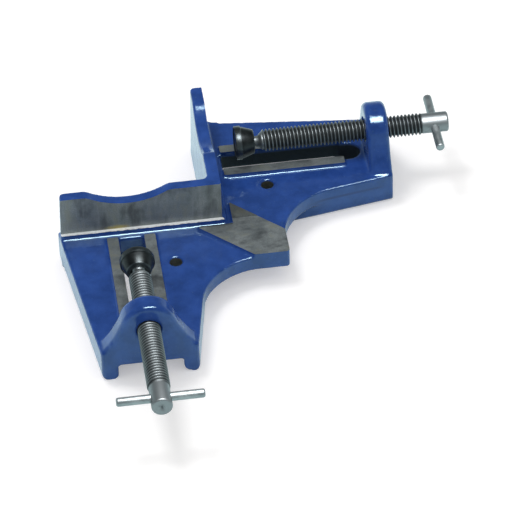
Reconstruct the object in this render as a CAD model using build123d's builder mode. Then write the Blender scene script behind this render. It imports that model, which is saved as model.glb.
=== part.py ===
from build123d import *
import os
from math import acos, degrees

# A corner clamp: an L-shaped iron casting with two ground fences at a right angle, and two
# screws that push swivelling shoes towards them. Arm 1 lies along -Y and arm 2 along +X; they
# mirror each other about the vertical plane through the corner of the fences and the tip.
# The origin is on the bench, under the corner where the two ground faces meet. Millimetres.

# Fences
fence_length = 90.3
fence_thickness = 6.8
fence_height = 45.9
fence_draft = 1.7
fence_edge_radius = 1.0
fence_end_radius = 2.5
fence_back_radius = 3.5
scallop_width = 46.0
scallop_depth = 6.5
scallop_shoulder_radius = 7.0

# Ground ledge at the foot of each fence, and the cast foot below it
ledge_width = 2.2
ledge_height = 21.5
corner_relief = 0.8
foot_gap = 3.0
foot_fillet = 0.7
fairing_reach = 7.0
fairing_height = 1.3
cove_root = 0.5
foot_corner_radius = 2.0

# Plate
plate_top = 18.3
plate_thickness = 9.2
plate_length = 91.3
plate_edge_radius = 0.6
arm_corner_radius = 2.0
arm_reach = 101.2
arm_end_width = 53.2
tip_reach = 33.6
tip_corner_radius = 1.5
scoop_start = 64.0
scoop_slant = 10.2

# Ground pads: two rails beside each slot, and a strip along the mitre
pad_height = 2.2
rail_width = 6.3
rail_gap = 0.9
rail_end = 75.6
mitre_strip_width = 27.6

# Slots, bench holes and ribs
slot_width = 14.5
slot_end = 86.0
slot_corner_radius = 1.5
bench_hole_radius = 3.5
bench_hole_across = 29.8
bench_hole_along = 29.4
outer_rib_width = 9.0
scoop_rib_width = 8.6
rib_root_depth = 1.0
foot_edge_radius = 2.5
foot_inner_radius = 5.0
bench_hole_chamfer = 0.8

# Lugs
screw_offset = 52.3
screw_height = 32.0
lug_thickness = 12.8
lug_radius = 15.7
lug_flare_angle = 20.0
lug_edge_radius = 3.0
lug_foot_radius = 2.0
bore_chamfer = 0.8

# Screws, shoes and tommy bars. Distances along a screw start at its shoe's front face.
screw_diameter = 12.7
bore_clearance = 0.1
screw_length = 122.8
thread_start = 16.5
cone_length = 3.6
neck_radius = 2.8
ball_radius = 5.0
ball_centre = 6.8
ball_clearance = 0.1
shank_radius = 5.75
shank_length = 15.0
shank_edge_radius = 1.2
run_out = 1.2
centre_drill_radius = 1.1
centre_drill_depth = 1.4
shoe_radius = 9.7
shoe_land = 3.7
shoe_length = 10.9
shoe_rear_radius = 6.8
shoe_mouth_radius = 4.3
shoe_dish = 0.5
shoe_rim = 1.3
shoe_chamfer = 0.5
bar_radius = 2.45
bar_length = 47.5
bar_inset = 8.0
bar_chamfer = 0.6

# Where the two shoes stand, measured from the fences
shoe_gap_1 = 40.9
shoe_gap_2 = 14.1

plate_underside = plate_top - plate_thickness
ground_height = plate_top + pad_height
foot_reach = ledge_width + foot_gap
slot_start = foot_reach + rail_gap
beyond = 2 * arm_reach
diagonal = Plane(origin=(0, 0, 0), x_dir=(1, -1, 0), z_dir=(1, 1, 0))


def near(shape, x, y, reach=0.3):
    """The vertices or edges of a shape whose centre lies at a place in plan."""
    found = [item for item in shape if abs(item.center().X - x) < reach and abs(item.center().Y - y) < reach]
    return ShapeList(found)


def outer_edges(faces):
    """The edges that only one of the faces has, so the rim round them all."""
    edges = [edge for face in faces for edge in face.edges()]
    return ShapeList([edge for edge in edges if sum(edge.is_same(other) for other in edges) == 1])


def arch_faces(build):
    """The faces over the top of a lug, from one end of its flare to the other."""
    faces = build.faces().filter_by(GeomType.CYLINDER)
    return [face for face in faces if face.area > 10 * screw_diameter and face.radius > screw_diameter]


def bore_mouth(edge):
    """True of the two circles where the screw's bore leaves a lug."""
    return edge.geom_type == GeomType.CIRCLE and abs(edge.radius - screw_diameter / 2 - bore_clearance) < 0.01


def drafted(face):
    """True of the upright faces on the back and at the ends of the fences."""
    middle = face.center()
    behind = middle.X < -1 and middle.Y > 1
    at_end = max(-middle.X, middle.Y) > fence_length - fence_end_radius
    return abs(face.normal_at().Z) < 0.01 and (behind or at_end)


def arm_corners(build):
    """The four corners in plan at the ends of the two arms."""
    corners = build.vertices()
    left = near(corners, arm_left, -arm_reach) + near(corners, arm_reach, -arm_left)
    return left + near(corners, arm_right, -arm_reach) + near(corners, arm_reach, -arm_right)


def cove_profile(radius):
    """A concave quarter-round in the corner of two faces, rooted a little way into both."""
    with BuildSketch() as profile:
        with BuildLine():
            curve = CenterArc((radius, radius), radius, 180, 90)
            Polyline(
                curve @ 1,
                (radius, -cove_root),
                (-cove_root, -cove_root),
                (-cove_root, radius),
                curve @ 0,
            )
        make_face()
    return profile.sketch


def bench_hole_mouth(edge):
    """True of the upper rims of the two bench holes."""
    return abs(edge.radius - bench_hole_radius) < 0.01 and abs(edge.center().Z - plate_top) < 0.01


def shank_corner(face):
    """The profile's corner at the outer end of the shank."""
    return face.vertices().sort_by_distance(profile_plane.from_local_coords((shank_radius, screw_length)))[:1]


# Outline of the plate on arm 1, from the tip round the arm to the back of the fence
arm_left = -screw_offset - arm_end_width / 2
arm_right = -screw_offset + arm_end_width / 2
outer_start = Vector(-plate_length, -ledge_width)
outer_run = Vector(arm_left, -arm_reach) - outer_start
outer_back = outer_start - outer_run * ((fence_thickness + ledge_width) / -outer_run.Y)
tip_half = tip_reach - mitre_strip_width / 2 ** 0.5
tip_half_reach = mitre_strip_width / 2 ** 0.5 - foot_reach
scoop_direction = Vector(0, 1, 0).rotate(Axis.Z, -scoop_slant)
scoop_run = (arm_reach - scoop_start) / scoop_direction.Y
scoop_end = Vector(arm_right, -arm_reach, 0) + scoop_direction * scoop_run
rib_root = scoop_end + scoop_direction * (-scoop_end.Y / scoop_direction.Y)


# The body: one iron casting, ground on the working faces after painting
with BuildPart() as scallop:
    scallop_radius = (scallop_width ** 2 / 4 + scallop_depth ** 2) / (2 * scallop_depth)
    with BuildSketch(Plane.XZ) as scallop_profile:
        with Locations((-screw_offset, fence_height - scallop_depth + scallop_radius)):
            Circle(scallop_radius)
        with Locations((-screw_offset, fence_height)):
            Rectangle(1.5 * scallop_width, scallop_radius, align=(Align.CENTER, Align.MIN))
        for side in (-1, 1):
            shoulder_at = -screw_offset + side * scallop_width / 2
            fillet(near(scallop_profile.vertices(), shoulder_at, fence_height), scallop_shoulder_radius)
    extrude(amount=fence_length, both=True)

with BuildPart() as lug:
    with BuildSketch(Plane(origin=(-screw_offset, -arm_reach, 0), x_dir=(1, 0, 0), z_dir=(0, -1, 0))):
        with BuildLine():
            flare_foot = arm_end_width / 2 - plate_edge_radius
            crown = CenterArc((0, screw_height), lug_radius, lug_flare_angle, 180 - 2 * lug_flare_angle)
            TangentArc(crown @ 0, (flare_foot, plate_top), tangent=(crown % 0) * -1)
            TangentArc(crown @ 1, (-flare_foot, plate_top), tangent=crown % 1)
            Polyline(
                (-flare_foot, plate_top),
                (-flare_foot, plate_underside),
                (flare_foot, plate_underside),
                (flare_foot, plate_top),
            )
        make_face()
        with Locations((0, screw_height)):
            Circle(screw_diameter / 2 + bore_clearance, mode=Mode.SUBTRACT)
    extrude(amount=-lug_thickness)
    fillet(outer_edges(arch_faces(lug)), lug_edge_radius)
    chamfer(lug.edges().filter_by(bore_mouth), bore_chamfer)
    lug_foot = (-screw_offset, lug_thickness - arm_reach, plate_top)
    with BuildSketch(Plane(origin=lug_foot, x_dir=(0, 1, 0), z_dir=(1, 0, 0))):
        add(cove_profile(lug_foot_radius))
    extrude(amount=flare_foot - lug_edge_radius, both=True)

with BuildSketch() as plate_plan:
    with BuildLine():
        Polyline(
            (-fence_thickness, fence_thickness),
            outer_back,
            (arm_left, -arm_reach),
            (arm_right, -arm_reach),
            scoop_end,
        )
        scoop = TangentArc(scoop_end, (tip_half, -tip_reach), tangent=scoop_direction)
        Polyline(scoop @ 1, (tip_reach, -tip_reach), (-fence_thickness, fence_thickness))
    make_face()
    mirror(about=diagonal)
    fillet(near(plate_plan.vertices(), tip_reach, -tip_reach), tip_corner_radius)
    fillet(arm_corners(plate_plan), arm_corner_radius)

with BuildPart() as plate:
    with BuildSketch(Plane.XY.offset(plate_underside)):
        add(plate_plan.sketch)
    extrude(amount=plate_thickness)
    fillet(plate.faces().sort_by(Axis.Z)[-1].outer_wire().edges(), plate_edge_radius)

# The ribs under the plate, on which the clamp stands: straight bars with a rounded foot, laid
# flush with the sides of the arms and cut off with the plate
rib_height = plate_underside + rib_root_depth
outer_side = (outer_start, Vector(arm_left, -arm_reach))
scoop_side = (Vector(arm_right, -arm_reach), rib_root)
with BuildPart() as ribs:
    for (start, end), rib_width, inner_radius in (
        (outer_side, outer_rib_width, foot_edge_radius),
        (scoop_side, scoop_rib_width, foot_inner_radius),
    ):
        run = end - start
        inward = Vector(-run.Y, run.X).normalized()
        with BuildSketch(Plane(origin=start - run / 2, x_dir=inward, z_dir=run)) as section:
            Rectangle(rib_width, rib_height, align=(Align.MIN, Align.MIN))
            fillet(section.vertices().group_by(Axis.Y)[0].sort_by(Axis.X)[0], foot_edge_radius)
            fillet(section.vertices().group_by(Axis.Y)[0].sort_by(Axis.X)[-1], inner_radius)
        extrude(amount=2 * run.length)
    mirror(about=diagonal)
    with BuildSketch():
        add(plate_plan.sketch)
    extrude(amount=rib_height, mode=Mode.INTERSECT)

# The fairing along the foot of the fences: a low slope up from the plate, with a fillet where it
# meets the step of the ledge, cut off at the ends of the plate
with BuildPart() as fairing:
    with BuildLine() as fence_front:
        FilletPolyline(
            (-plate_length - foot_gap, -ledge_width, plate_top),
            (ledge_width, -ledge_width, plate_top),
            (ledge_width, plate_length + foot_gap, plate_top),
            radius=foot_corner_radius,
        )
    fairing_plane = Plane(origin=fence_front.line @ 0, x_dir=(0, -1, 0), z_dir=(-1, 0, 0))
    with BuildSketch(fairing_plane) as fairing_profile:
        with BuildLine():
            Polyline(
                (0, foot_gap),
                (0, fairing_height),
                (fairing_reach, 0),
                (fairing_reach, -cove_root),
                (-cove_root, -cove_root),
                (-cove_root, foot_gap),
                close=True,
            )
        make_face()
        fillet(near(fairing_profile.vertices(), 0, fairing_height), foot_fillet)
    sweep(path=fence_front.line)
    with BuildSketch(Plane.XY.offset(plate_underside)):
        add(plate_plan.sketch)
    extrude(amount=plate_thickness + foot_gap, mode=Mode.INTERSECT)

with BuildPart() as casting:
    # Fences: an L of wall down to the bench, at first wide enough to hold the ledge, and drafted
    # on its back and its ends
    with BuildSketch() as fence_plan:
        with BuildLine():
            Polyline(
                (-fence_length, fence_thickness),
                (-fence_thickness, fence_thickness),
                (-fence_thickness, fence_length),
                (ledge_width, fence_length),
                (ledge_width, -ledge_width),
                (-fence_length, -ledge_width),
                close=True,
            )
        make_face()
        fillet(near(fence_plan.vertices(), -fence_thickness, fence_thickness), fence_back_radius)
        fillet(near(fence_plan.vertices(), -fence_length, fence_thickness), fence_end_radius)
        fillet(near(fence_plan.vertices(), -fence_thickness, fence_length), fence_end_radius)
        fillet(near(fence_plan.vertices(), ledge_width, -ledge_width), foot_corner_radius)
    extrude(amount=fence_height)
    draft(casting.faces().filter_by(drafted), Plane.XY.offset(fence_height), fence_draft)

    # Scallops in the fences' tops, which clear a hand on the screws
    add(scallop.part, mode=Mode.SUBTRACT)
    mirror(scallop.part, about=diagonal, mode=Mode.SUBTRACT)
    fence_tops = [f for f in casting.faces() if f.center().Z > ledge_height and f.normal_at().Z > 0.5]
    fillet(outer_edges(fence_tops), fence_edge_radius)

    # Plate, ribs, fairing and lugs, all of the one casting
    add([plate.part, ribs.part, fairing.part, lug.part])
    mirror(lug.part, about=diagonal)

    # Raised pads for the work to lie on: rails beside the slots, and the mitre strip
    with BuildSketch(Plane.XY.offset(plate_top - plate_edge_radius)) as pads:
        rail_middle = (slot_width + rail_width) / 2
        for side in (-1, 1):
            with Locations((-screw_offset + side * rail_middle, -slot_start)):
                Rectangle(rail_width, rail_end - slot_start, align=(Align.CENTER, Align.MAX))
        with BuildLine():
            Polyline(
                (tip_reach, -tip_reach),
                (tip_half, -tip_reach),
                (-tip_half_reach, -foot_reach),
                (foot_reach, -foot_reach),
                close=True,
            )
        make_face()
        mirror(about=diagonal)
        fillet(near(pads.vertices(), tip_reach, -tip_reach), tip_corner_radius)
        fillet(near(pads.vertices(), foot_reach, -foot_reach), foot_corner_radius)
    extrude(amount=plate_edge_radius + pad_height)

    # Slots, bench holes, and the ground faces with the ledges that grinding leaves
    with BuildSketch(Plane.XY.offset(plate_underside)) as openings:
        straight = slot_end - slot_start - slot_width / 2
        with Locations((-screw_offset, -slot_start)):
            Rectangle(slot_width, straight, align=(Align.CENTER, Align.MAX))
        with Locations((-screw_offset, -slot_start - straight)):
            Circle(slot_width / 2)
        with Locations((-bench_hole_across, -bench_hole_along)):
            Circle(bench_hole_radius)
        for side in (-1, 1):
            slot_corner = near(openings.vertices(), -screw_offset + side * slot_width / 2, -slot_start)
            fillet(slot_corner, slot_corner_radius)
        mirror(about=diagonal)
    extrude(amount=ground_height, mode=Mode.SUBTRACT)
    with BuildSketch(Plane.XY.offset(ledge_height)):
        Rectangle(2 * beyond, 2 * beyond)
        with BuildLine():
            Polyline(
                (0, 0),
                (0, beyond),
                (-beyond, beyond),
                (-beyond, 0),
                close=True,
            )
        make_face(mode=Mode.SUBTRACT)
        with BuildLine():
            Polyline(
                (-beyond, -foot_reach),
                (foot_reach, -foot_reach),
                (foot_reach, beyond),
                (beyond, beyond),
                (beyond, -beyond),
                (-beyond, -beyond),
                close=True,
            )
        make_face(mode=Mode.SUBTRACT)
    extrude(amount=fence_height, mode=Mode.SUBTRACT)

    fence_corner = near(casting.edges().filter_by(Axis.Z), 0, 0)
    fillet(fence_corner, corner_relief)
    hole_mouths = casting.edges().filter_by(GeomType.CIRCLE).filter_by(bench_hole_mouth)
    chamfer(hole_mouths, bench_hole_chamfer)

os.makedirs("parts", exist_ok=True)
casting.part.label = "clamp_casting"
export_step(casting.part, "parts/clamp_casting.step")

# Each arm's screw lies along the arm, from its shoe's front face out through the lug
arms = [
    (1, Vector(-screw_offset, -shoe_gap_1, screw_height), Vector(0, -1, 0)),
    (2, Vector(shoe_gap_2, screw_offset, screw_height), Vector(1, 0, 0)),
]
socket_radius = ball_radius + ball_clearance
mouth_angle = degrees(acos(shoe_mouth_radius / socket_radius))
neck_angle = degrees(acos(neck_radius / ball_radius))
thread_radius = screw_diameter / 2
thread_end = screw_length - shank_length

for number, front, outward in arms:
    sideways = Vector(0, 0, 1).cross(outward)
    profile_plane = Plane(origin=front, x_dir=(0, 0, 1), z_dir=sideways)

    # Shoe: a turned disc with a coned back, crimped round the ball of the screw
    with BuildPart() as shoe:
        with BuildSketch(profile_plane):
            with BuildLine():
                socket = CenterArc((0, ball_centre), socket_radius, -90, 90 + mouth_angle)
                Polyline(
                    socket @ 1,
                    (shoe_mouth_radius, shoe_length),
                    (shoe_rear_radius, shoe_length),
                    (shoe_radius, shoe_land),
                    (shoe_radius, shoe_chamfer),
                    (shoe_radius - shoe_chamfer, 0),
                    (shoe_radius - shoe_rim, 0),
                    (shoe_radius - shoe_rim - shoe_dish, shoe_dish),
                    (0, shoe_dish),
                    socket @ 0,
                )
            make_face()
        revolve(axis=Axis(front, outward))
    shoe.part.label = f"shoe_{number}"
    export_step(shoe.part, f"parts/shoe_{number}.step")

    # Screw: a ball and neck inside the shoe, a cone, the thread, and a plain shank
    bar_middle = front + outward * (screw_length - bar_inset)
    with BuildPart() as screw:
        with BuildSketch(profile_plane):
            with BuildLine():
                ball = CenterArc((0, ball_centre), ball_radius, -90, 90 + neck_angle)
                Polyline(
                    ball @ 1,
                    (neck_radius, thread_start - cone_length),
                    (thread_radius, thread_start),
                    (thread_radius, thread_end - run_out),
                    (shank_radius, thread_end),
                    (shank_radius, screw_length),
                    (centre_drill_radius, screw_length),
                    (0, screw_length - centre_drill_depth),
                    ball @ 0,
                )
            face = make_face()
            fillet(shank_corner(face), shank_edge_radius)
        revolve(axis=Axis(front, outward))
        with BuildSketch(Plane(origin=bar_middle, z_dir=sideways)):
            Circle(bar_radius)
        extrude(amount=screw_diameter, both=True, mode=Mode.SUBTRACT)
    screw.part.label = f"screw_{number}"
    export_step(screw.part, f"parts/screw_{number}.step")

    # Tommy bar: a plain rod pressed through the shank
    with BuildPart() as tommy_bar:
        with BuildSketch(Plane(origin=bar_middle, z_dir=sideways)):
            Circle(bar_radius)
        extrude(amount=bar_length / 2, both=True)
        chamfer(tommy_bar.edges().filter_by(GeomType.CIRCLE), bar_chamfer)
    tommy_bar.part.label = f"tommy_bar_{number}"
    export_step(tommy_bar.part, f"parts/tommy_bar_{number}.step")
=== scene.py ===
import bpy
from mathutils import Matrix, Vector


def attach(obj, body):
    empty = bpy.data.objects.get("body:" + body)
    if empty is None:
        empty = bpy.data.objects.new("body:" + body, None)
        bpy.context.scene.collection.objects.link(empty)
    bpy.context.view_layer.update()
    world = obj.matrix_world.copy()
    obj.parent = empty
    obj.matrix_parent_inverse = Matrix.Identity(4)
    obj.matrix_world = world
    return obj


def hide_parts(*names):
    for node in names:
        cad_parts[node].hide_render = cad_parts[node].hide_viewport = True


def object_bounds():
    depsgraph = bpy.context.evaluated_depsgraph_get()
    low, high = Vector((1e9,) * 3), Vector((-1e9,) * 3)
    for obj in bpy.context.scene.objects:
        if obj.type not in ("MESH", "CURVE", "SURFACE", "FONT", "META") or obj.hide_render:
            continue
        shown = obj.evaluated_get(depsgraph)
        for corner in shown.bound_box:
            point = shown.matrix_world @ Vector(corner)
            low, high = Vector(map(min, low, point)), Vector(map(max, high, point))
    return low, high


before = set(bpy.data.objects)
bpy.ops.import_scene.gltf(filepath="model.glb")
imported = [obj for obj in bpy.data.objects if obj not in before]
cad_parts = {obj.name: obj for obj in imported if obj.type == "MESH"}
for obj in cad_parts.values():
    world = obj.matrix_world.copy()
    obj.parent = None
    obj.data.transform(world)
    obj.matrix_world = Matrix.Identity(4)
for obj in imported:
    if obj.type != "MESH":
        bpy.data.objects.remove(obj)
cad_box = [list(corner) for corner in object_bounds()]

from math import cos, pi, radians, sin

import bmesh
import bpy
from mathutils import Matrix, Vector

# The casting.
# One piece of grey iron, sand cast with its plate, fences, lugs and ribs, then dipped in thick
# royal-blue enamel. The mill bares the fence faces, the pads and the feet after that.

MM = 0.001
PLATE_UNDERSIDE = 9.1
# Height of the dark streak painted along the second arm's wall.
DARK_STREAK_HEIGHT = 11.6
FOOT_REACH = 5.2
LEDGE_HEIGHT = 21.5
LEDGE_LIP = 0.4
LEDGE_FALL = 0.1
PAD_TOP = 20.5
CORNER_STEP = 0.3
CORNER_RELIEF = 0.8
GRINDING_STOCK = 1.2
SLOT_HALF = 7.25
SLOT_END = 86.0
SLOT_DRAFT = 0.8
SLOT_END_DRAFT = 5.4
RAIL_END = 75.6
SCREW_OFFSET = 52.3
SCREW_HEIGHT = 32.0
BORE_RADIUS = 6.6
BENCH_HOLES = ((-29.8, -29.4), (29.4, 29.8))
BENCH_HOLE_RADIUS = 3.6
FENCE_STAIN = (-59, 0, 22.5)
STAIN_REACH = (9, 9, 2.6)


def node(tree, kind, inputs=(), **settings):
    """Adds a shader node. An input is given as a value, or as the output that feeds it."""
    made = tree.nodes.new(kind)
    for name, value in settings.items():
        setattr(made, name, value)
    for name, value in dict(inputs).items():
        if isinstance(value, bpy.types.NodeSocket):
            tree.links.new(value, made.inputs[name])
        else:
            made.inputs[name].default_value = value
    return made


def new_finish(name):
    """A material, and where its pattern is read: the piece's own coordinates."""
    finish = bpy.data.materials.new(name)
    finish.use_nodes = True
    tree = finish.node_tree
    tree.nodes.clear()
    place = node(tree, "ShaderNodeTexCoord").outputs["Object"]
    return finish, tree, place


def mottle(tree, place, size, stretch=(1, 1, 1), detail=2.0, rough=0.5, twist=0.0):
    """Cloudy noise whose patches measure size mm, longer along an axis where it is stretched."""
    scale = [1 / (size * MM * s) for s in stretch]
    laid_out = node(tree, "ShaderNodeMapping", {"Vector": place, "Scale": scale}).outputs["Vector"]
    noise = {"Vector": laid_out, "Scale": 1.0, "Detail": detail, "Roughness": rough, "Distortion": twist}
    return node(tree, "ShaderNodeTexNoise", noise).outputs["Fac"]


def between(tree, value, low, high, to_low=0.0, to_high=1.0):
    """Stretches a value from low..high to to_low..to_high, and holds it at both ends."""
    limits = {"Value": value, "From Min": low, "From Max": high, "To Min": to_low, "To Max": to_high}
    return node(tree, "ShaderNodeMapRange", limits).outputs["Result"]


def blend_colour(tree, share, first, second):
    """Mixes two colours by a share."""
    return node(tree, "ShaderNodeMix", {0: share, 6: first, 7: second}, data_type="RGBA").outputs[2]


def maths(tree, operation, first, second=0.0):
    """One sum on two values."""
    return node(tree, "ShaderNodeMath", {0: first, 1: second}, operation=operation).outputs[0]


def away_from(tree, value, middle):
    """How far a coordinate is from a place in mm, either way."""
    return maths(tree, "ABSOLUTE", maths(tree, "SUBTRACT", value, middle * MM))


def bump(tree, height, depth, under=None):
    """Raises the surface by height times depth mm."""
    inputs = {"Height": height, "Distance": depth * MM, "Strength": 1.0}
    if under is not None:
        inputs["Normal"] = under
    return node(tree, "ShaderNodeBump", inputs).outputs["Normal"]


def surface(tree, inputs):
    """Ends a material in its surface shader."""
    shader = node(tree, "ShaderNodeBsdfPrincipled", inputs)
    node(tree, "ShaderNodeOutputMaterial", {"Surface": shader.outputs["BSDF"]})


def ironed(name, marks, level, tint=(1, 1, 1), stain=None):
    """Milled grey iron, dull and a little oily. marks stretches its tool marks along their run,
    level and tint set how pale it is, and stain is a place where it has begun to rust."""
    finish, tree, place = new_finish(name)
    clouds = mottle(tree, place, 16, detail=3.0, rough=0.55)
    smudge_run = [m ** 0.3 for m in marks]
    smudges = mottle(tree, place, 9, stretch=smudge_run, detail=3.0, rough=0.55, twist=0.3)
    streaks = mottle(tree, place, 2.2, stretch=marks, detail=3.0, rough=0.6)
    lines = mottle(tree, place, 0.5, stretch=marks, detail=2.0)
    crystals = mottle(tree, place, 0.7, detail=2.0)

    def shade(red, green, blue):
        return [level * c * t for c, t in zip((red, green, blue), tint)] + [1]

    grey = shade(0.170, 0.198, 0.210)
    pale_grey = shade(0.250, 0.282, 0.288)
    dark_crystal = shade(0.110, 0.125, 0.130)
    oil = shade(0.062, 0.072, 0.078)
    olive_film = shade(0.225, 0.235, 0.190)
    bright_streak = shade(0.30, 0.33, 0.34)
    rust = (0.36, 0.30, 0.10, 1)
    colour = blend_colour(tree, between(tree, clouds, 0.35, 0.65), grey, pale_grey)
    colour = blend_colour(tree, between(tree, crystals, 0.35, 0.65, 0.0, 0.45), colour, dark_crystal)
    colour = blend_colour(tree, between(tree, smudges, 0.50, 0.70, 0.0, 0.8), colour, oil)
    colour = blend_colour(tree, between(tree, smudges, 0.46, 0.32, 0.0, 0.6), colour, olive_film)
    colour = blend_colour(tree, between(tree, streaks, 0.52, 0.75, 0.0, 0.3), colour, bright_streak)
    if stain:
        to_stain = {"Vector": place, "Location": [-c * MM for c in stain]}
        away = node(tree, "ShaderNodeMapping", to_stain).outputs["Vector"]
        in_reaches = {0: away, 1: [1 / (c * MM) for c in STAIN_REACH]}
        spread = node(tree, "ShaderNodeVectorMath", in_reaches, operation="MULTIPLY").outputs[0]
        reach = node(tree, "ShaderNodeVectorMath", {0: spread}, operation="LENGTH").outputs["Value"]
        ragged = maths(tree, "MULTIPLY", mottle(tree, place, 1.5, detail=3.0), 0.9)
        edge = maths(tree, "ADD", reach, ragged)
        colour = blend_colour(tree, between(tree, edge, 1.35, 0.75, 0.0, 0.85), colour, rust)
    rough = between(tree, maths(tree, "ADD", clouds, streaks), 0.7, 1.3, 0.40, 0.55)
    relief = bump(tree, lines, 0.012)
    relief = bump(tree, crystals, 0.008, relief)
    surface(tree, {"Base Color": colour, "Metallic": 0.45, "Roughness": rough, "Normal": relief})
    return finish


def cut_with_painted_highlight(name):
    """A narrow ledge just off the cutter, painted near white as its highlight, with enamel left
    along its ragged outer edge that is painted darker as the shade of the step below.
    """
    finish, tree, place = new_finish(name)
    # Bare iron painted near white, as the ledge's highlight, with dimmer torn patches.
    bright = (0.93, 0.95, 0.95, 1)
    torn_dimmer_highlight = (0.55, 0.58, 0.59, 1)
    # Enamel left on the outer edge, painted darker as the shade of the step below.
    edge_enamel_painted_shade = (0.010, 0.030, 0.120, 1)
    edge_shade_from, edge_shade_full = -1.05, -1.25
    highlight_tears = mottle(tree, place, 1.6, detail=3.0, rough=0.6)
    ragged = maths(tree, "MULTIPLY", mottle(tree, place, 2.6, detail=3.0), 1.6 * MM)
    outer = node(tree, "ShaderNodeSeparateXYZ", {"Vector": place}).outputs["Y"]
    outer = maths(tree, "ADD", outer, ragged)
    colour = blend_colour(tree, between(tree, highlight_tears, 0.56, 0.72, 0.0, 0.7), bright, torn_dimmer_highlight)
    edge_shade_share = between(tree, outer, edge_shade_from * MM, edge_shade_full * MM)
    colour = blend_colour(tree, edge_shade_share, colour, edge_enamel_painted_shade)
    relief = bump(tree, mottle(tree, place, 1.0, detail=2.0), 0.05)
    surface(tree, {"Base Color": colour, "Metallic": 0.2, "Roughness": 0.35, "Normal": relief})
    return finish


def enamelled(name):
    """Thick glossy enamel over a sand casting, with painted shade in the slot of the second arm,
    which is rougher there too, and a dark streak painted along the wall of that arm."""
    finish, tree, place = new_finish(name)
    deep_blue = (0.0150, 0.050, 0.222, 1)
    royal_blue = (0.0235, 0.073, 0.312, 1)
    pale_speck = (0.10, 0.21, 0.42, 1)
    # Near black, painted as the shade inside the second arm's slot.
    slot_painted_shade = (0.008, 0.008, 0.016, 1)
    dark_streak_blue = (0.014, 0.028, 0.147, 1)
    pools = mottle(tree, place, 11, detail=4.0, rough=0.6)
    specks = mottle(tree, place, 1.0, detail=3.0, rough=0.6)
    orange_peel = mottle(tree, place, 1.8, detail=1.0)
    pits = mottle(tree, place, 4.0, detail=2.0)
    x, y, z = node(tree, "ShaderNodeSeparateXYZ", {"Vector": place}).outputs
    colour = blend_colour(tree, between(tree, pools, 0.35, 0.65), deep_blue, royal_blue)
    colour = blend_colour(tree, between(tree, specks, 0.64, 0.80, 0.0, 0.45), colour, pale_speck)
    # The painted shade fades out at both ends of the slot, under the plate's top and near the feet.
    slot_shade_share = maths(tree, "LESS_THAN", away_from(tree, y, SCREW_OFFSET), (SLOT_HALF + 0.6) * MM)
    for value, low, high in ((x, 1, 2), (x, SLOT_END + 2, SLOT_END + 1), (z, 18.0, 16.6), (z, 5.0, 8.5)):
        slot_shade_share = maths(tree, "MULTIPLY", slot_shade_share, between(tree, value, low * MM, high * MM))
    colour = blend_colour(tree, slot_shade_share, colour, slot_painted_shade)
    # A dark streak is painted along the scooped side of the second arm, as far as the lug.
    dark_streak = between(tree, away_from(tree, z, DARK_STREAK_HEIGHT), 1.2 * MM, 0.4 * MM)
    dark_streak = maths(tree, "MULTIPLY", dark_streak, between(tree, pools, 0.25, 0.55, 0.2, 0.8))
    for value, low, high in ((x, 45, 60), (x, 97, 92), (y, 40, 36)):
        dark_streak = maths(tree, "MULTIPLY", dark_streak, between(tree, value, low * MM, high * MM))
    colour = blend_colour(tree, dark_streak, colour, dark_streak_blue)
    rough = between(tree, pools, 0.3, 0.7, 0.09, 0.16)
    # The slot's painted shade is also rougher.
    rough = maths(tree, "ADD", rough, maths(tree, "MULTIPLY", slot_shade_share, 0.5))
    relief = bump(tree, orange_peel, 0.018)
    relief = bump(tree, pits, 0.055, relief)
    relief = bump(tree, between(tree, specks, 0.66, 0.80), 0.14, relief)
    surface(tree, {"Base Color": colour, "Roughness": rough, "IOR": 1.58,
                   "Specular Tint": (0.66, 0.93, 1.0, 1), "Normal": relief})
    return finish


enamel = enamelled("royal_blue_enamel")
milled_face = ironed("milled_iron_face", (1, 1, 12), level=1.104, stain=FENCE_STAIN)
milled_pad = ironed("milled_iron_pad", (2.5, 1, 1), level=0.816)
# The corner step's iron is a darker copy of the pads' iron.
darker_pad = ironed("milled_iron_darker", (1, 1, 1), level=0.432, tint=(1.0, 1.0, 0.96))
ledge_painted_highlight = cut_with_painted_highlight("ledge_painted_highlight_iron")
bored_iron = ironed("bored_iron", (1, 1, 1), level=0.66, tint=(1.05, 0.95, 0.75))


def prism(outline, low, high):
    """An upright prism over an outline in plan, in mm."""
    bm = bmesh.new()
    base = bm.faces.new([bm.verts.new((x * MM, y * MM, low * MM)) for x, y in outline])
    raised = bmesh.ops.extrude_face_region(bm, geom=[base])["geom"]
    top = [item for item in raised if isinstance(item, bmesh.types.BMVert)]
    bmesh.ops.translate(bm, vec=(0, 0, (high - low) * MM), verts=top)
    bmesh.ops.recalc_face_normals(bm, faces=bm.faces)
    return bm


def laid(bm, start, axis):
    """Lays a piece that was made standing on the origin along an axis, from a start in mm."""
    turn = Vector((0, 0, 1)).rotation_difference(Vector(axis)).to_matrix().to_4x4()
    bmesh.ops.transform(bm, matrix=Matrix.Translation(Vector(start) * MM) @ turn, verts=bm.verts)
    return bm


def turned(profile, steps, start, axis):
    """A turned solid. The profile gives the distance along the axis, and the radius, in mm."""
    bm = bmesh.new()
    rim = [bm.verts.new((radius * MM, 0, distance * MM)) for distance, radius in profile]
    line = [bm.edges.new(pair) for pair in zip(rim, rim[1:])]
    bmesh.ops.spin(bm, geom=rim + line, axis=(0, 0, 1), angle=2 * pi, steps=steps, use_merge=True)
    bmesh.ops.remove_doubles(bm, verts=bm.verts, dist=1e-7)
    bmesh.ops.recalc_face_normals(bm, faces=bm.faces)
    return laid(bm, start, axis)


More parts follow.
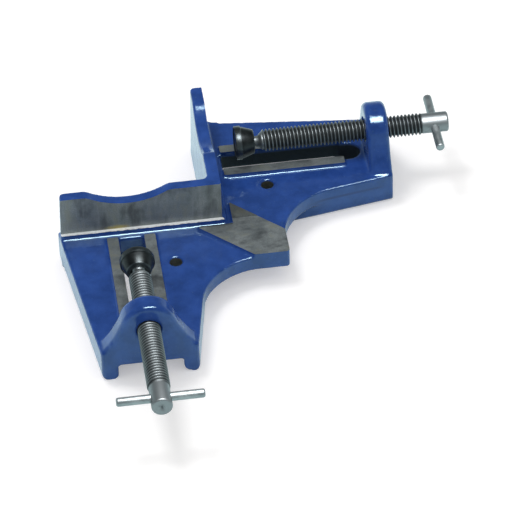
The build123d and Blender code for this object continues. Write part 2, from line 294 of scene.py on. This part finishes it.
def as_object(name, bm, *finishes, smooth=True):
    """Puts a finished bmesh on an object at the origin."""
    for face in bm.faces:
        face.smooth = smooth
    mesh = bpy.data.meshes.new(name)
    bm.to_mesh(mesh)
    bm.free()
    for finish in finishes:
        mesh.materials.append(finish)
    made = bpy.data.objects.new(name, mesh)
    bpy.context.scene.collection.objects.link(made)
    return made


def settle(made):
    """Makes an object's modifiers part of its mesh."""
    view = bpy.context.evaluated_depsgraph_get()
    mesh = bpy.data.meshes.new_from_object(made.evaluated_get(view))
    mesh.name = made.name
    made.modifiers.clear()
    old = made.data
    made.data = mesh
    bpy.data.meshes.remove(old)


def cut(body, tool):
    """Machines body with a cutter, which leaves its own finish on what it cuts."""
    step = body.modifiers.new("cut", "BOOLEAN")
    step.operation = "DIFFERENCE"
    step.solver = "MANIFOLD"
    step.material_mode = "TRANSFER"
    step.object = tool
    settle(body)
    bpy.data.objects.remove(tool)


# The pattern is the CAD's casting, with stock left where the mill will cut and draft in the slots.
# Two cuts across each arm keep the steeper draft of the slots' ends clear of the rails.
ON_FACE = 0.02
RAIL_END_CUTS = (RAIL_END - 3.5, RAIL_END - 1.0)
bm = bmesh.new()
bm.from_mesh(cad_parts["clamp_casting"].data)
bmesh.ops.remove_doubles(bm, verts=bm.verts, dist=2e-6)
for way, side in (((1, 0, 0), 1), ((0, 1, 0), -1)):
    for along in RAIL_END_CUTS:
        bmesh.ops.bisect_plane(bm, geom=bm.verts[:] + bm.edges[:] + bm.faces[:], dist=1e-7,
                               plane_co=Vector(way) * side * along * MM, plane_no=way)
for vertex in bm.verts:
    x, y, z = vertex.co / MM
    if z > LEDGE_HEIGHT - 0.05:
        if abs(y) < ON_FACE and x < 0.5:
            vertex.co.y -= GRINDING_STOCK * MM
        if abs(x) < ON_FACE and y > -0.5:
            vertex.co.x += GRINDING_STOCK * MM
    if abs(z - LEDGE_HEIGHT) < ON_FACE or abs(z - PAD_TOP) < ON_FACE:
        vertex.co.z += GRINDING_STOCK * MM
    if z < ON_FACE:
        vertex.co.z -= GRINDING_STOCK * MM
    if abs(z - PLATE_UNDERSIDE) < ON_FACE:
        for along, across, way, inward in ((-y, -x - SCREW_OFFSET, 0, 1), (x, y - SCREW_OFFSET, 1, -1)):
            if 0 < along < SLOT_END + 0.1 and 0.5 < abs(across) < SLOT_HALF + 0.05:
                at_end = across > 0 and along > RAIL_END_CUTS[1] - 0.5
                draft = min(SLOT_END_DRAFT if at_end else SLOT_DRAFT, 0.9 * abs(across))
                vertex.co[way] += inward * draft * MM * (1 if across > 0 else -1)
casting = as_object("blue_casting", bm, enamel)

# The sand and the enamel round every corner and leave a rippled skin.
skin = casting.modifiers.new("skin", "REMESH")
skin.mode = "VOXEL"
skin.voxel_size = 0.8 * MM
skin.use_smooth_shade = True
soften = casting.modifiers.new("soften", "SMOOTH")
soften.factor = 0.5
soften.iterations = 3
for title, size, height in (("ripple", 9.0, 0.16), ("sand", 2.4, 0.10)):
    clouds = bpy.data.textures.new(title, "CLOUDS")
    clouds.noise_scale = size * MM
    clouds.noise_depth = 2
    wave = casting.modifiers.new(title, "DISPLACE")
    wave.texture = clouds
    wave.texture_coords = "LOCAL"
    wave.strength = height * MM
    wave.mid_level = 0.5
settle(casting)

# The mill faces both fences down to their ledges, then the pads, the corner step and the feet.
PAST_ARMS = 110
PAST_FEET = 120
ABOVE_ALL = 60
BELOW_ALL = -9
PAST_LEDGE = 5
PAST_CORNER = 0.9
PADS_START = FOOT_REACH + 0.2
PADS_END = 82
STEP_END = 34
ledge_edge = LEDGE_HEIGHT + LEDGE_LIP
first_fence = [(-PAST_ARMS, 0), (-PAST_ARMS, -PAST_LEDGE), (PAST_CORNER, -PAST_LEDGE), (PAST_CORNER, 0)]
second_fence = [(0, PAST_ARMS), (0, -PAST_LEDGE), (PAST_LEDGE, -PAST_LEDGE), (PAST_LEDGE, PAST_ARMS)]
for outline, across, floor_finish in ((first_fence, 1, ledge_painted_highlight), (second_fence, 0, enamel)):
    fence_mill = prism(outline, ledge_edge, ABOVE_ALL)
    for face in fence_mill.faces:
        face.material_index = 1 if face.normal.z < -0.5 else 0
    for vertex in fence_mill.verts:
        if vertex.co.z < ABOVE_ALL / 2 * MM:
            vertex.co.z -= abs(vertex.co[across]) * LEDGE_FALL
    cut(casting, as_object("fence_mill", fence_mill, milled_face, floor_finish, smooth=False))
corner_outline = [(-CORNER_RELIEF, 0), (0, CORNER_RELIEF), (2, 1), (2, -2), (-1, -2)]
corner_mill = prism(corner_outline, ledge_edge, ABOVE_ALL)
cut(casting, as_object("corner_mill", corner_mill, milled_face, smooth=False))
pad_outline = [(-PAST_ARMS, -PADS_START), (PADS_START, -PADS_START), (PADS_START, 0), (STEP_END, 0),
               (STEP_END, STEP_END), (PADS_START, STEP_END), (PADS_START, PAST_ARMS),
               (PADS_END, PAST_ARMS), (PADS_END, -PADS_END), (-PAST_ARMS, -PADS_END)]
pad_mill = prism(pad_outline, PAD_TOP, ABOVE_ALL)
cut(casting, as_object("pad_mill", pad_mill, milled_pad, smooth=False))
step_outline = [(PADS_START, 0), (STEP_END + 1, 0), (STEP_END + 1, STEP_END), (PADS_START, STEP_END)]
step_mill = prism(step_outline, PAD_TOP + CORNER_STEP, ABOVE_ALL)
cut(casting, as_object("step_mill", step_mill, darker_pad, smooth=False))
base_outline = [(side * PAST_FEET, end * PAST_FEET) for side, end in ((-1, -1), (1, -1), (1, 1), (-1, 1))]
base_mill = prism(base_outline, BELOW_ALL, 0)
cut(casting, as_object("base_mill", base_mill, milled_pad, smooth=False))

# The screws' bores, from the outer ends of the arms, and the two bench holes are drilled last.
BORE_DEPTH = 45
DRILL_DEPTH = 32
DRILL_START = -5
for start, axis in (((-SCREW_OFFSET, -PAST_FEET, SCREW_HEIGHT), (0, 1, 0)),
                    ((PAST_FEET, SCREW_OFFSET, SCREW_HEIGHT), (-1, 0, 0))):
    bore_side = [(0, 0), (0, BORE_RADIUS), (BORE_DEPTH, BORE_RADIUS), (BORE_DEPTH, 0)]
    bore = turned(bore_side, 64, start, axis)
    cut(casting, as_object("bore", bore, bored_iron, smooth=False))
for x, y in BENCH_HOLES:
    drill_side = [(0, 0), (0, BENCH_HOLE_RADIUS), (DRILL_DEPTH, BENCH_HOLE_RADIUS), (DRILL_DEPTH, 0)]
    drill = turned(drill_side, 40, (x, y, DRILL_START), (0, 0, 1))
    cut(casting, as_object("drill", drill, bored_iron, smooth=False))

# Machined edges and the seams between two finishes stay sharp, and nothing passes the CAD's box.
bm = bmesh.new()
bm.from_mesh(casting.data)
bmesh.ops.remove_doubles(bm, verts=bm.verts, dist=1e-6)
for face in bm.faces:
    face.smooth = True
for edge in bm.edges:
    one_finish = len({face.material_index for face in edge.link_faces}) == 1
    edge.smooth = one_finish and edge.calc_face_angle(0.0) < radians(50)
for vertex in bm.verts:
    vertex.co = [min(max(value, low), high) for value, low, high in zip(vertex.co, *cad_box)]
bm.to_mesh(casting.data)
bm.free()
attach(casting, "casting")
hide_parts("clamp_casting")

# The two screws.
# Bright steel spindles with a rolled 12 threads-per-inch V thread, a plain shank for the tommy
# bar at the outer end, and a neck with a ball at the inner end that the shoe swivels on.

THREAD_PITCH = 25.4 / 12
THREAD_ROOT = 4.99
SCREW_RADIUS = 6.35
THREAD_START = 16.5
CONE_LENGTH = 3.6
NECK_RADIUS = 2.8
NECK_ANGLE = 34
BALL_RADIUS = 5.0
BALL_CENTRE = 6.8
SHANK_RADIUS = 5.75
SHANK_LENGTH = 15.0
SCREW_LENGTH = 122.8
THREAD_END = SCREW_LENGTH - SHANK_LENGTH
RUN_OUT = 1.6
SHANK_ROUNDING = 1.2
CENTRE_HOLE_RADIUS = 1.1
CENTRE_HOLE_DEPTH = 1.4
STEPS_PER_TURN = 40
SHOE_FACES = (((-SCREW_OFFSET, -40.9, SCREW_HEIGHT), (0, -1, 0)),
              ((14.1, SCREW_OFFSET, SCREW_HEIGHT), (1, 0, 0)))


def bright_steel(name, start, axis):
    """Turned and rolled steel: bright on the crests of the thread, painted dark in its grooves as shade."""
    finish, tree, place = new_finish(name)
    # Near black, painted as the shade in the thread's grooves.
    groove_painted_shade = (0.030, 0.035, 0.037, 1)
    grey_crest = (0.16, 0.178, 0.186, 1)
    pale_crest = (0.225, 0.25, 0.26, 1)
    dirty_crest = (0.12, 0.13, 0.13, 1)
    turned_shank = (0.25, 0.27, 0.28, 1)
    from_start = {0: place, 1: [-c * MM for c in start]}
    offset = node(tree, "ShaderNodeVectorMath", from_start, operation="ADD").outputs[0]
    along = node(tree, "ShaderNodeVectorMath", {0: offset, 1: axis}, operation="DOT_PRODUCT").outputs["Value"]
    sideways = {0: offset, 1: [1 - abs(c) for c in axis]}
    across = node(tree, "ShaderNodeVectorMath", sideways, operation="MULTIPLY").outputs[0]
    radius = node(tree, "ShaderNodeVectorMath", {0: across}, operation="LENGTH").outputs["Value"]
    smears = mottle(tree, place, 7, detail=3.0, rough=0.6)
    hairs = mottle(tree, place, 0.6, detail=2.0)
    dirt = mottle(tree, place, 2.2, detail=3.0)
    crest = between(tree, radius, (THREAD_ROOT + 0.15) * MM, (SCREW_RADIUS - 0.12) * MM)
    crest = maths(tree, "POWER", crest, 3.0)
    plain = between(tree, along, (THREAD_END - 0.8) * MM, (THREAD_END + 0.2) * MM)
    cone = between(tree, along, (THREAD_START + 0.3) * MM, (THREAD_START - 0.3) * MM)
    crest = maths(tree, "MAXIMUM", crest, maths(tree, "MAXIMUM", plain, cone))
    pale = blend_colour(tree, between(tree, smears, 0.35, 0.65), grey_crest, pale_crest)
    pale = blend_colour(tree, between(tree, dirt, 0.58, 0.78, 0.0, 0.45), pale, dirty_crest)
    pale = blend_colour(tree, plain, pale, turned_shank)
    # The crests show the steel; the grooves are painted dark as shade.
    colour = blend_colour(tree, crest, groove_painted_shade, pale)
    rough = between(tree, crest, 0.1, 0.8, 0.60, 0.46)
    relief = bump(tree, hairs, 0.003)
    surface(tree, {"Base Color": colour, "Metallic": 0.9, "Roughness": rough, "Normal": relief})
    return finish


def drawn_out(bm, rim, stations):
    """Draws an open round rim on along the axis, through stations of distance and radius."""
    for distance, radius in stations:
        grown = bmesh.ops.extrude_edge_only(bm, edges=rim)["geom"]
        for vertex in (item for item in grown if isinstance(item, bmesh.types.BMVert)):
            outward = Vector((vertex.co.x, vertex.co.y, 0)).normalized()
            vertex.co = outward * radius * MM + Vector((0, 0, distance * MM))
        rim = [item for item in grown if isinstance(item, bmesh.types.BMEdge)]
    bmesh.ops.holes_fill(bm, edges=rim, sides=0)


# One V of the thread, in shares of the pitch, with a rounded crest. It starts two turns early, so
# that the thread fades into the cone.
flank_foot = THREAD_ROOT + 0.05
flank_top = SCREW_RADIUS - 0.06
thread_form = [(0.0, THREAD_ROOT), (0.08, flank_foot), (0.42, flank_top), (0.5, SCREW_RADIUS),
               (0.58, flank_top), (0.92, flank_foot), (1.0, THREAD_ROOT)]
thread_first = THREAD_START - 2 * THREAD_PITCH
cone_start = THREAD_START - CONE_LENGTH
ball = [(BALL_CENTRE + BALL_RADIUS * cos(radians(a)), BALL_RADIUS * sin(radians(a)))
        for a in range(NECK_ANGLE, 180, 9)]
neck_and_ball = [(BALL_CENTRE + BALL_RADIUS * 0.9, NECK_RADIUS)] + ball
shank_end = [(SCREW_LENGTH - SHANK_ROUNDING * (1 - sin(radians(a))),
              SHANK_RADIUS - SHANK_ROUNDING * (1 - cos(radians(a)))) for a in range(0, 91, 15)]
shank_end += [(SCREW_LENGTH, CENTRE_HOLE_RADIUS), (SCREW_LENGTH - CENTRE_HOLE_DEPTH, 0.25)]
for number, (start, axis) in enumerate(SHOE_FACES, 1):
    bm = bmesh.new()
    tooth = [bm.verts.new((radius * MM, 0, (thread_first + share * THREAD_PITCH) * MM))
             for share, radius in thread_form]
    for pair in zip(tooth, tooth[1:]):
        bm.edges.new(pair)
    screw_finish = bright_steel(f"bright_screw_steel_{number}", start, axis)
    screw = as_object(f"screw_{number}_spindle", bm, screw_finish)
    winding = screw.modifiers.new("winding", "SCREW")
    winding.axis = "Z"
    winding.angle = 2 * pi
    winding.screw_offset = THREAD_PITCH * MM
    winding.iterations = int((THREAD_END - THREAD_START) / THREAD_PITCH) + 4
    winding.steps = winding.render_steps = STEPS_PER_TURN
    settle(screw)
    bm = bmesh.new()
    bm.from_mesh(screw.data)
    bmesh.ops.remove_doubles(bm, verts=bm.verts, dist=2e-6)
    for vertex in bm.verts:
        distance = vertex.co.z / MM
        outward = Vector((vertex.co.x, vertex.co.y, 0)) / MM
        cone = NECK_RADIUS + max(0.0, distance - cone_start)
        fade = min(1.0, max(0.0, (distance - THREAD_END + RUN_OUT) / RUN_OUT))
        radius = min(outward.length, cone)
        radius += (SHANK_RADIUS - radius) * fade
        vertex.co = outward.normalized() * radius * MM + Vector((0, 0, distance * MM))
    for place, side in ((cone_start - 0.2, -1), (THREAD_END + 0.4, 1)):
        bmesh.ops.bisect_plane(bm, geom=bm.verts[:] + bm.edges[:] + bm.faces[:], dist=1e-7,
                               plane_co=(0, 0, place * MM), plane_no=(0, 0, side), clear_outer=True)
    rims = [edge for edge in bm.edges if edge.is_boundary]
    inner_rim = [edge for edge in rims if edge.verts[0].co.z < SCREW_LENGTH / 2 * MM]
    outer_rim = [edge for edge in rims if edge.verts[0].co.z > SCREW_LENGTH / 2 * MM]
    drawn_out(bm, inner_rim, neck_and_ball)
    drawn_out(bm, outer_rim, shank_end)
    bmesh.ops.recalc_face_normals(bm, faces=bm.faces)
    laid(bm, start, axis)
    for face in bm.faces:
        face.smooth = True
    for edge in bm.edges:
        edge.smooth = edge.calc_face_angle(0.0) < radians(60)
    bm.to_mesh(screw.data)
    bm.free()
    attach(screw, f"spindle_{number}")
    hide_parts(f"screw_{number}")

# The two swivel shoes.
# Turned steel buttons, black oxide, with a flat flange that presses the work and a cone behind it
# that is spun over the ball of the screw.

FLANGE = [(0.5, 0.0), (0.5, 7.9), (0.05, 8.4), (0.0, 8.6), (0.0, 9.3), (0.12, 9.58), (0.4, 9.7),
          (3.3, 9.7), (3.55, 9.6), (3.7, 9.35), (3.85, 9.05), (4.3, 8.95)]
CONE_AND_MOUTH = [(10.3, 7.0), (10.7, 6.7), (10.9, 6.3), (10.9, 4.9), (10.75, 4.5), (10.4, 4.3), (9.6, 4.3)]
BALL_SOCKET = [(8.6, 4.77), (6.8, 5.1), (5.0, 4.77), (3.4, 3.8), (2.3, 2.4), (1.8, 1.0), (1.7, 0.0)]
# Bands along the shoe, in mm from its face, that are worn and painted with a sheen.
FLANGE_WEAR_AND_SHEEN = (0.02, 3.5)
MOUTH_WEAR_AND_SHEEN = (10.4, 11.0)


def black_oxide(name, wear_and_sheen=1.0):
    """Blackened steel with a soft oily sheen, made paler by a factor for wear and a painted sheen."""
    finish, tree, place = new_finish(name)
    black = (0.017 * wear_and_sheen, 0.021 * wear_and_sheen, 0.023 * wear_and_sheen, 1)
    soft_black = (0.032 * wear_and_sheen, 0.038 * wear_and_sheen, 0.040 * wear_and_sheen, 1)
    rubbed = (0.065, 0.072, 0.072, 1)
    clouds = mottle(tree, place, 4, detail=3.0, rough=0.6)
    rubs = mottle(tree, place, 0.8, detail=2.0)
    colour = blend_colour(tree, between(tree, clouds, 0.35, 0.7), black, soft_black)
    colour = blend_colour(tree, between(tree, rubs, 0.62, 0.8, 0.0, 0.5), colour, rubbed)
    rough = between(tree, clouds, 0.3, 0.7, 0.30, 0.40)
    relief = bump(tree, rubs, 0.006)
    surface(tree, {"Base Color": colour, "Metallic": 0.8, "Roughness": rough, "Normal": relief})
    return finish


shoe_finish = black_oxide("black_oxide_steel")
worn_and_sheen_finish = black_oxide("worn_oxide_steel_painted_sheen", wear_and_sheen=2.2)
for number, (start, axis) in enumerate(SHOE_FACES, 1):
    bm = turned(FLANGE + CONE_AND_MOUTH + BALL_SOCKET, 72, start, axis)
    for edge in bm.edges:
        edge.smooth = edge.calc_face_angle(0.0) < radians(35)
    # The flange and the mouth take the paler oxide: wear, with a painted sheen where they catch the light.
    for face in bm.faces:
        depth = (face.calc_center_median() / MM - Vector(start)).dot(axis)
        has_wear_and_sheen = any(low < depth < high for low, high in (FLANGE_WEAR_AND_SHEEN, MOUTH_WEAR_AND_SHEEN))
        face.material_index = 1 if has_wear_and_sheen else 0
    shoe = as_object(f"swivel_shoe_{number}_button", bm, shoe_finish, worn_and_sheen_finish)
    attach(shoe, f"swivel_shoe_{number}")
    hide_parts(f"shoe_{number}")

# The two tommy bars.
# Plain drawn steel pins, pressed through the shanks across the screws, with their ends rounded.

BAR_LENGTH = 47.5
BAR_RADIUS = 2.45
BAR_INSET = 8.0
BAR_END = [(0.0, 0.0), (0.0, 1.5), (0.2, 2.05), (0.6, 2.35), (1.1, BAR_RADIUS)]


def drawn_steel(name):
    """Bright drawn bar, slightly uneven along its length."""
    finish, tree, place = new_finish(name)
    grey = (0.27, 0.30, 0.31, 1)
    pale = (0.36, 0.39, 0.40, 1)
    smears = mottle(tree, place, 5, detail=3.0)
    colour = blend_colour(tree, between(tree, smears, 0.35, 0.65), grey, pale)
    rough = between(tree, smears, 0.3, 0.7, 0.44, 0.54)
    relief = bump(tree, mottle(tree, place, 4.0), 0.02)
    surface(tree, {"Base Color": colour, "Metallic": 1.0, "Roughness": rough, "Normal": relief})
    return finish


bar_finish = drawn_steel("drawn_bar_steel")
bar_profile = BAR_END + [(BAR_LENGTH - distance, radius) for distance, radius in reversed(BAR_END)]
for number, (start, axis) in enumerate(SHOE_FACES, 1):
    across = Vector((0, 0, 1)).cross(Vector(axis))
    middle = Vector(start) + Vector(axis) * (SCREW_LENGTH - BAR_INSET)
    bm = turned(bar_profile, 40, middle - across * BAR_LENGTH / 2, across)
    bar = as_object(f"tommy_bar_{number}_pin", bm, bar_finish)
    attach(bar, f"spindle_{number}")
    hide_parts(f"tommy_bar_{number}")

# The table, the light and the camera.
# A plain white table that keeps the clamp's shadow, in even light with daylight from behind on the
# left and two soft boxes above that show only as glints, seen from the photograph's own viewpoint.

COOL = (0.80, 0.97, 1.0, 1)
TABLE_GLOW = 0.35
TABLE_GLOW_IN_GLINTS = 0.28
FILL = 0.70

table_top = bmesh.new()
bmesh.ops.create_grid(table_top, x_segments=1, y_segments=1, size=6.0)
white, tree, _ = new_finish("white_table")
rays = node(tree, "ShaderNodeLightPath")
mirrored = rays.outputs["Is Glossy Ray"]
seen = maths(tree, "MAXIMUM", rays.outputs["Is Camera Ray"], rays.outputs["Is Transmission Ray"])
glow_seen = maths(tree, "MULTIPLY", seen, TABLE_GLOW)
glow_mirrored = maths(tree, "MULTIPLY", mirrored, TABLE_GLOW_IN_GLINTS)
glow_tone = blend_colour(tree, mirrored, (1, 1, 1, 1), COOL)
glow_strength = maths(tree, "ADD", glow_seen, glow_mirrored)
glow = node(tree, "ShaderNodeEmission", {"Color": glow_tone, "Strength": glow_strength})
paper_tone = blend_colour(tree, mirrored, (0.80, 0.79, 0.785, 1), (0.72, 0.90, 0.90, 1))
paper = node(tree, "ShaderNodeBsdfDiffuse", {"Color": paper_tone})
both = node(tree, "ShaderNodeAddShader", {0: glow.outputs[0], 1: paper.outputs[0]})
node(tree, "ShaderNodeOutputMaterial", {"Surface": both.outputs[0]})
table = as_object("white_table", table_top, white, smooth=False)

world = bpy.data.worlds.new("studio")
bpy.context.scene.world = world
world.use_nodes = True
tree = world.node_tree
tree.nodes.clear()
rays = node(tree, "ShaderNodeLightPath")
direction = node(tree, "ShaderNodeTexCoord").outputs["Generated"]
height = node(tree, "ShaderNodeSeparateXYZ", {"Vector": direction}).outputs["Z"]
mirrored = rays.outputs["Is Glossy Ray"]
strength = maths(tree, "MULTIPLY", mirrored, between(tree, height, 0.05, 0.45, 0.65, 0.15))
strength = maths(tree, "ADD", strength, rays.outputs["Is Camera Ray"])
strength = maths(tree, "ADD", strength, rays.outputs["Is Transmission Ray"])
strength = maths(tree, "ADD", strength, maths(tree, "MULTIPLY", rays.outputs["Is Diffuse Ray"], FILL))
sky_tone = blend_colour(tree, mirrored, (1, 1, 1, 1), COOL)
background = node(tree, "ShaderNodeBackground", {"Color": sky_tone, "Strength": strength})
node(tree, "ShaderNodeOutputWorld", {"Surface": background.outputs[0]})


def soft_box(name, place, width, depth, power, glints):
    """A soft box that looks at the clamp, for its glints or for its plain light."""
    lamp = bpy.data.lights.new(name, "AREA")
    lamp.shape = "RECTANGLE"
    lamp.size = width
    lamp.size_y = depth
    lamp.energy = power
    held = bpy.data.objects.new(name, lamp)
    bpy.context.scene.collection.objects.link(held)
    away = Vector(place).normalized()
    side = Vector((0, 1, 0)).cross(away).normalized()
    facing = Matrix((side, away.cross(side), away)).transposed().to_4x4()
    held.matrix_world = Matrix.Translation(place) @ facing
    held.visible_diffuse = not glints
    held.visible_glossy = glints


soft_box("daylight", (-0.30, 0.30, 1.15), 0.35, 0.35, 5.0, glints=False)
soft_box("broad_glints", (0.15, -0.22, 1.20), 0.85, 0.55, 20.0, glints=True)
soft_box("core_glints", (0.15, -0.25, 1.21), 0.42, 0.42, 11.0, glints=True)

AZIMUTH = -0.109258
ELEVATION = 0.696972
ROLL = -0.036629
EYE = (-170.6895, -1721.7197, 1443.7923)
FOCAL_PIXELS = 3993.035
FRAME_PIXELS = 512
PRINCIPAL = (255.8506, 252.0341)
back = Vector((sin(AZIMUTH) * cos(ELEVATION), -cos(AZIMUTH) * cos(ELEVATION), sin(ELEVATION)))
level = Vector((cos(AZIMUTH), sin(AZIMUTH), 0))
upright = back.cross(level)
right = level * cos(ROLL) + upright * sin(ROLL)
up = upright * cos(ROLL) - level * sin(ROLL)
lens = bpy.data.cameras.new("camera")
lens.sensor_width = 36.0
lens.lens = FOCAL_PIXELS / FRAME_PIXELS * lens.sensor_width
lens.shift_x = (FRAME_PIXELS / 2 - PRINCIPAL[0]) / FRAME_PIXELS
lens.shift_y = (PRINCIPAL[1] - FRAME_PIXELS / 2) / FRAME_PIXELS
lens.clip_start = 0.05
lens.clip_end = 50
camera = bpy.data.objects.new("camera", lens)
bpy.context.scene.collection.objects.link(camera)
camera.matrix_world = Matrix((right, up, back)).transposed().to_4x4()
camera.location = Vector(EYE) * MM
bpy.context.scene.camera = camera
bpy.context.scene.view_settings.view_transform = "Standard"
